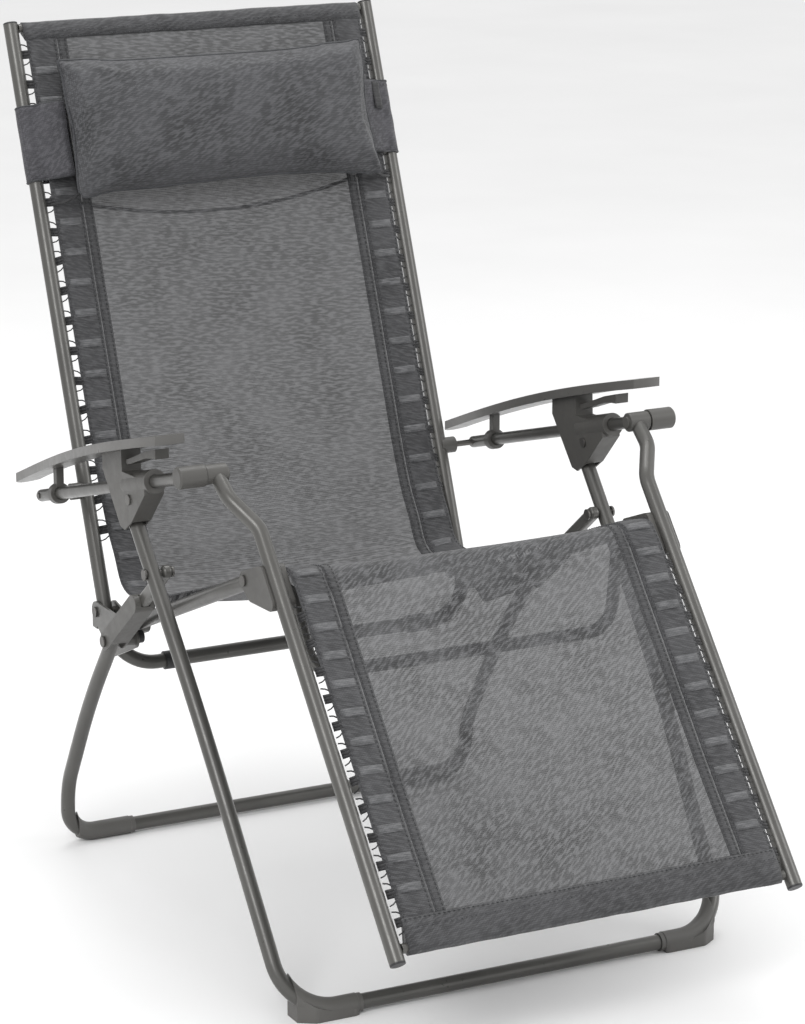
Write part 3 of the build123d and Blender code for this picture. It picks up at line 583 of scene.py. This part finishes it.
def lacing(name, body, stations, cad_node):
    """Crossings on both sides, at places given as (sling edge, tube, direction along the tube)."""
    made = Shape()
    for edge, tube, ahead in stations:
        for side, _ in sides:
            lace(made, Vector((side * (EDGE_X - 0.002), *edge)),
                 Vector((side * (TUBE_INNER_X + 0.001), *tube)), Vector((0, *ahead)))
    piece = made.build(name, elastic_look)
    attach(piece, body)
    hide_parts(cad_node)


def stations_at(places, ahead):
    """The nearest place on the sling's edge for each place on a tube."""
    found = []
    for place in places:
        nearest = min(line_points, key=lambda p: (p - Vector(place)).length)
        found.append((tuple(nearest), place, ahead))
    return found


back_places = [on_back(s, LACE_OUT) for s in steps_between(0.105, 0.745, 0.0400)]
leg_places = [on_leg(s, LACE_OUT) for s in steps_between(0.045, 0.428, 0.0348)]
seat_places = [on_line(KNEE_PIVOT, SEAT_DIRECTION, s, 0.003) for s in steps_between(0.055, 0.375, 0.040)]
lacing("elastic_back", "back", stations_at(back_places, BACK_DIRECTION), "back_lacing")
lacing("elastic_leg", "leg_rest", stations_at(leg_places, LEG_DIRECTION), "leg_lacing")
lacing("elastic_seat", "seat", stations_at(seat_places, SEAT_DIRECTION), "seat_lacing")


# ---------------------------------------------------------------- headrest
PILLOW_MIDDLE = 0.6335
PILLOW_OUT = 0.0430
PILLOW_HALF = (0.2300, 0.1000)
PILLOW_DEPTH = 0.0262
PILLOW_CAP = 0.007          # how far the cloth simulation may move a point
CLOTH_FRAMES = 20


def from_pillow(x, up, out):
    """Point at x across, up along the back, and out towards the sitter from the pillow's middle."""
    return Vector((x, *on_back(PILLOW_MIDDLE + up, PILLOW_OUT + out)))


def pillow_shell():
    """Crowned pillow whose sides pull in between its corners."""
    made = Shape()
    count_x, count_up = 46, 22
    for front in (1, -1):
        rows = []
        for i in range(count_up + 1):
            v = math.sin(math.pi / 2 * (2 * i / count_up - 1))
            row = []
            for j in range(count_x + 1):
                u = math.sin(math.pi / 2 * (2 * j / count_x - 1))
                pull_x = 1 - 0.022 * (1 - v * v)
                pull_up = 1 - 0.085 * (1 - u * u)
                swell = ((1 - abs(u) ** 4.5) ** 0.55) * ((1 - abs(v) ** 2.6) ** 0.55)
                depth = front * PILLOW_DEPTH * swell * (1.0 if front > 0 else 0.92)
                row.append(from_pillow(u * PILLOW_HALF[0] * pull_x, v * PILLOW_HALF[1] * pull_up, depth))
            rows.append(row)
        made.grid(rows, plain_uvs(rows), flip=front < 0)
    return made


def apply_modifiers(target):
    """Replace an object's mesh by what its modifiers make."""
    ready = target.evaluated_get(bpy.context.evaluated_depsgraph_get())
    mesh = bpy.data.meshes.new_from_object(ready)
    target.modifiers.clear()
    target.data = mesh


pillow = pillow_shell().build("pillow", pillow_look)
weld = pillow.modifiers.new("weld", "WELD")
weld.merge_threshold = 0.0004
fine = pillow.modifiers.new("remesh", "REMESH")
fine.mode = "VOXEL"
fine.voxel_size = 0.005
apply_modifiers(pillow)
rest = [v.co.copy() for v in pillow.data.vertices]
cloth = pillow.modifiers.new("cloth", "CLOTH")
cloth.settings.quality = 6
cloth.settings.use_pressure = True
cloth.settings.uniform_pressure_force = 4.0
cloth.settings.effector_weights.gravity = 0.0
cloth.settings.tension_stiffness = 14.0
cloth.settings.bending_stiffness = 0.6
cloth.point_cache.frame_start = 1
cloth.point_cache.frame_end = CLOTH_FRAMES
for tick in range(1, CLOTH_FRAMES + 1):
    scene.frame_set(tick)
apply_modifiers(pillow)
scene.frame_set(1)
for vertex, old in zip(pillow.data.vertices, rest):
    moved = vertex.co - old
    if moved.length > PILLOW_CAP:
        vertex.co = old + moved * (PILLOW_CAP / moved.length)
smooth = pillow.modifiers.new("smooth", "SMOOTH")
smooth.iterations = 3
divide = pillow.modifiers.new("divide", "SUBSURF")
divide.levels = 1
divide.render_levels = 1
apply_modifiers(pillow)
pillow.data.materials.clear()
pillow.data.materials.append(pillow_look)

# creases fan out from the corners, and broad soft folds cross the face
up_axis = Vector((0, *BACK_DIRECTION))
out_axis = Vector((0, -BACK_DIRECTION[1], BACK_DIRECTION[0]))
middle_point = from_pillow(0, 0, 0)
pillow.data.update()
normals = [v.normal.copy() for v in pillow.data.vertices]
for vertex, normal in zip(pillow.data.vertices, normals):
    place = vertex.co - middle_point
    x, up = place.x, place.dot(up_axis)
    rise = 0.0
    for corner_x in (-1, 1):
        for corner_up in (-1, 1):
            dx = PILLOW_HALF[0] - corner_x * x
            dup = PILLOW_HALF[1] - corner_up * up
            reach = math.hypot(dx, dup)
            fan = math.sin(math.atan2(dup, dx) * 9 + corner_x * 0.7 + corner_up)
            rise += 0.0016 * fan * math.exp(-((reach - 0.040) / 0.030) ** 2)
    rise += 0.0024 * noise.noise(Vector((x * 8 + up * 6, up * 16 - x * 5, 0.4)))
    vertex.co = vertex.co + normal * rise
for polygon in pillow.data.polygons:
    polygon.use_smooth = True
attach(pillow, "headrest")
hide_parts("headrest_pillow")

pillow.data.update()
skin = BVHTree.FromObject(pillow, bpy.context.evaluated_depsgraph_get())
seam = []
SEAM_COUNT = 220
SEAM_POWER = 0.34
PIPING_RADIUS = 0.0021
for i in range(SEAM_COUNT):
    turn = 2 * math.pi * i / SEAM_COUNT
    c, s = math.cos(turn), math.sin(turn)
    u = math.copysign(abs(c) ** SEAM_POWER, c)
    v = math.copysign(abs(s) ** SEAM_POWER, s)
    probe = from_pillow(u * 0.30, v * 0.16, 0.0)
    aim = from_pillow(u * PILLOW_HALF[0] * 0.8, v * PILLOW_HALF[1] * 0.6, 0.0)
    towards = (aim - probe).normalized()
    hit = skin.ray_cast(probe, towards)[0]
    if hit is not None:
        seam.append(hit - towards * 0.0004)
piping = Shape()
seam_rows = []
for i, point in enumerate(seam):
    ahead = (seam[(i + 1) % len(seam)] - seam[i - 1]).normalized()
    other = ahead.cross(out_axis).normalized()
    turns = [2 * math.pi * k / 8 for k in range(8)]
    seam_rows.append([point + (out_axis * math.cos(t) + other * math.sin(t)) * PIPING_RADIUS for t in turns])
seam_rows.append(seam_rows[0])
piping.grid(seam_rows, plain_uvs(seam_rows), around=True)
piping_piece = piping.build("pillow_piping", piping_look)
weld = piping_piece.modifiers.new("weld", "WELD")
weld.merge_threshold = 0.00002
apply_modifiers(piping_piece)
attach(piping_piece, "headrest")

FLAP_LOW = 0.574
FLAP_HIGH = 0.674
FLAP_RADIUS = 0.0116
WRAP_START = 108            # degrees round the tube, from its outer side
WRAP_END = -92


def flap_profile():
    """(x, out) of a flap's cloth, from the pillow's side round the tube and back behind it."""
    line = [(0.2170, 0.0300), (0.2260, 0.0262), (0.2380, 0.0200), (0.2490, 0.0146)]
    for i in range(15):
        turn = math.radians(WRAP_START - i * (WRAP_START - WRAP_END) / 14)
        line.append((BACK_TUBE_X + FLAP_RADIUS * math.cos(turn), FLAP_RADIUS * math.sin(turn)))
    line += [(0.2540, -0.0120), (0.2460, -0.0116), (0.2390, -0.0112)]
    return line


for side, side_name in sides:
    flap = Shape()
    line = flap_profile()
    lengths = [0.0]
    for a, b in zip(line, line[1:]):
        lengths.append(lengths[-1] + math.hypot(b[0] - a[0], b[1] - a[1]))
    rows = []
    uv_rows = []
    for s in steps_between(FLAP_LOW, FLAP_HIGH, 0.005):
        row = []
        for (x, out), run in zip(line, lengths):
            wave = 0.0007 * noise.noise(Vector((run * 60, s * 45, side * 2.1)))
            pinch = 0.0015 * math.cos((s - FLAP_LOW) / (FLAP_HIGH - FLAP_LOW) * 2 * math.pi)
            lean = pinch if x < 0.245 and out > 0 else 0.0
            row.append(Vector((side * (x + wave), *on_back(s, out + wave + lean))))
        rows.append(row)
        uv_rows.append([(run, s) for run in lengths])
    flap.grid(rows, uv_rows, flip=side < 0)
    flap_piece = flap.build("headrest_wrap_" + side_name, flap_look)
    thick = flap_piece.modifiers.new("thick", "SOLIDIFY")
    thick.thickness = 0.0013
    thick.offset = 0.0
    apply_modifiers(flap_piece)
    edging = Shape()
    for s in (FLAP_LOW, FLAP_HIGH):
        edging.tube([Vector((side * x, *on_back(s, out))) for x, out in line], 0.0013, 6)
    for s in (FLAP_LOW + 0.006, FLAP_HIGH - 0.006):
        for a, b in zip(range(0, len(line) - 1, 2), range(1, len(line), 2)):
            first = Vector((side * line[a][0], *on_back(s, line[a][1] + 0.0009)))
            second = Vector((side * line[b][0], *on_back(s, line[b][1] + 0.0009)))
            edging.tube([first, first.lerp(second, 0.65)], 0.00045, 5)
    edging_piece = edging.build("headrest_wrap_edging_" + side_name, piping_look)
    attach(flap_piece, "headrest")
    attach(edging_piece, "headrest")
    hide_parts("headrest_flap_" + side_name)

# plain woven tag on the right wrap
TAG_LOW = 0.634
TAG_LENGTH = 0.038
TAG_INNER_X = 0.2425
TAG_WIDTH = 0.0125
tag = Shape()
rows = []
for i in range(9):
    s = TAG_LOW + TAG_LENGTH * i / 8
    row = []
    for j in range(5):
        out = 0.0205 - 0.0046 * j / 4 + 0.0005 * math.sin(i * 0.8)
        row.append(Vector((TAG_INNER_X + TAG_WIDTH * j / 4, *on_back(s, out))))
    rows.append(row)
tag.grid(rows, plain_uvs(rows))
tag_piece = tag.build("headrest_label", tag_look)
thick = tag_piece.modifiers.new("thick", "SOLIDIFY")
thick.thickness = 0.0012
apply_modifiers(tag_piece)
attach(tag_piece, "headrest")
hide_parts("headrest_tag")

# elastic strap that hangs behind the mesh, and short loops at the pillow's lower corners
STRAP_HALF_WIDTH = 0.0024
STRAP_THICKNESS = 0.001
STRAP_STEPS = 40
strap = Shape()
rows = []
for i in range(STRAP_STEPS + 1):
    t = 2 * i / STRAP_STEPS - 1
    x = 0.236 * t
    s = 0.556 - 0.036 * (1 - t * t)
    out = -0.0200 - 0.004 * (1 - t * t)
    corners = ((s + STRAP_HALF_WIDTH, out), (s + STRAP_HALF_WIDTH, out - STRAP_THICKNESS),
               (s - STRAP_HALF_WIDTH, out - STRAP_THICKNESS), (s - STRAP_HALF_WIDTH, out))
    rows.append([Vector((x, *on_back(*corner))) for corner in corners])
base = strap.grid(rows, plain_uvs(rows), around=True)
strap.close_ends(base, len(rows), 4)
for side, _ in sides:
    loop = [(0.2100, 0.5520, 0.036), (0.2220, 0.5440, 0.026), (0.2360, 0.5400, 0.016),
            (0.2487, 0.5400, 0.010), (0.2495, 0.5430, -0.006), (0.2360, 0.5560, -0.0205)]
    strap.tube([Vector((side * x, *on_back(s, out))) for x, s, out in loop], 0.0021, 8)
strap_piece = strap.build("headrest_elastic", elastic_look)
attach(strap_piece, "headrest")

# ---------------------------------------------------------------- floor, light and camera
FLOOR_HALF = 30.0
floor_mesh = bpy.data.meshes.new("floor")
floor_corners = [(x * FLOOR_HALF, y * FLOOR_HALF, 0) for x, y in ((-1, -1), (1, -1), (1, 1), (-1, 1))]
floor_mesh.from_pydata(floor_corners, [], [(0, 1, 2, 3)])
floor = bpy.data.objects.new("floor", floor_mesh)
scene.collection.objects.link(floor)
floor_look, floor_tree, floor_shader = start_material("floor_white")
floor_noise = noise_of(floor_tree, node(floor_tree, "ShaderNodeTexCoord").outputs["Object"], 1.5)
floor_tree.links.new(ramp(floor_tree, floor_noise, 0.3, 0.7, (0.86, 0.86, 0.86), (0.89, 0.89, 0.89)),
                     floor_shader.inputs["Base Color"])
floor_shader.inputs["Roughness"].default_value = 0.9
floor_shader.inputs["Specular IOR Level"].default_value = 0.1
floor_mesh.materials.append(floor_look)

world = bpy.data.worlds.new("studio")
scene.world = world
world.use_nodes = True
world.node_tree.nodes["Background"].inputs["Color"].default_value = (1, 1, 1, 1)
world.node_tree.nodes["Background"].inputs["Strength"].default_value = 0.95


PART_MIDDLE = (0, 0, 0.5)


def area_light(name, place, width, height, power):
    """Soft rectangular light that shines on the middle of the part."""
    data = bpy.data.lights.new(name, "AREA")
    data.shape = "RECTANGLE"
    data.size = width
    data.size_y = height
    data.energy = power
    made = bpy.data.objects.new(name, data)
    made.location = place
    made.rotation_euler = (Vector(PART_MIDDLE) - Vector(place)).to_track_quat("-Z", "Y").to_euler()
    scene.collection.objects.link(made)


area_light("key", (-2.6, -2.4, 3.0), 1.6, 1.6, 70)
area_light("fill", (3.0, -1.8, 2.2), 1.4, 2.0, 35)
area_light("top", (0.3, 0.8, 3.6), 2.2, 1.2, 45)

AZIMUTH = math.radians(-27.12)
ELEVATION = math.radians(14.99)
CAMERA_PLACE = (-1.959, -3.890, 1.675)
camera_data = bpy.data.cameras.new("camera")
camera_data.sensor_width = 36.0
camera_data.lens = 125.63
camera_data.shift_x = -0.0009
camera_data.shift_y = -0.0038
camera_data.clip_end = 200
camera = bpy.data.objects.new("camera", camera_data)
scene.collection.objects.link(camera)
camera.location = CAMERA_PLACE
backward = Vector((math.sin(AZIMUTH) * math.cos(ELEVATION),
                   -math.cos(AZIMUTH) * math.cos(ELEVATION),
                   math.sin(ELEVATION)))
camera.rotation_mode = "QUATERNION"
camera.rotation_quaternion = (-backward).to_track_quat("-Z", "Y")
scene.camera = camera
scene.view_settings.view_transform = "Standard"
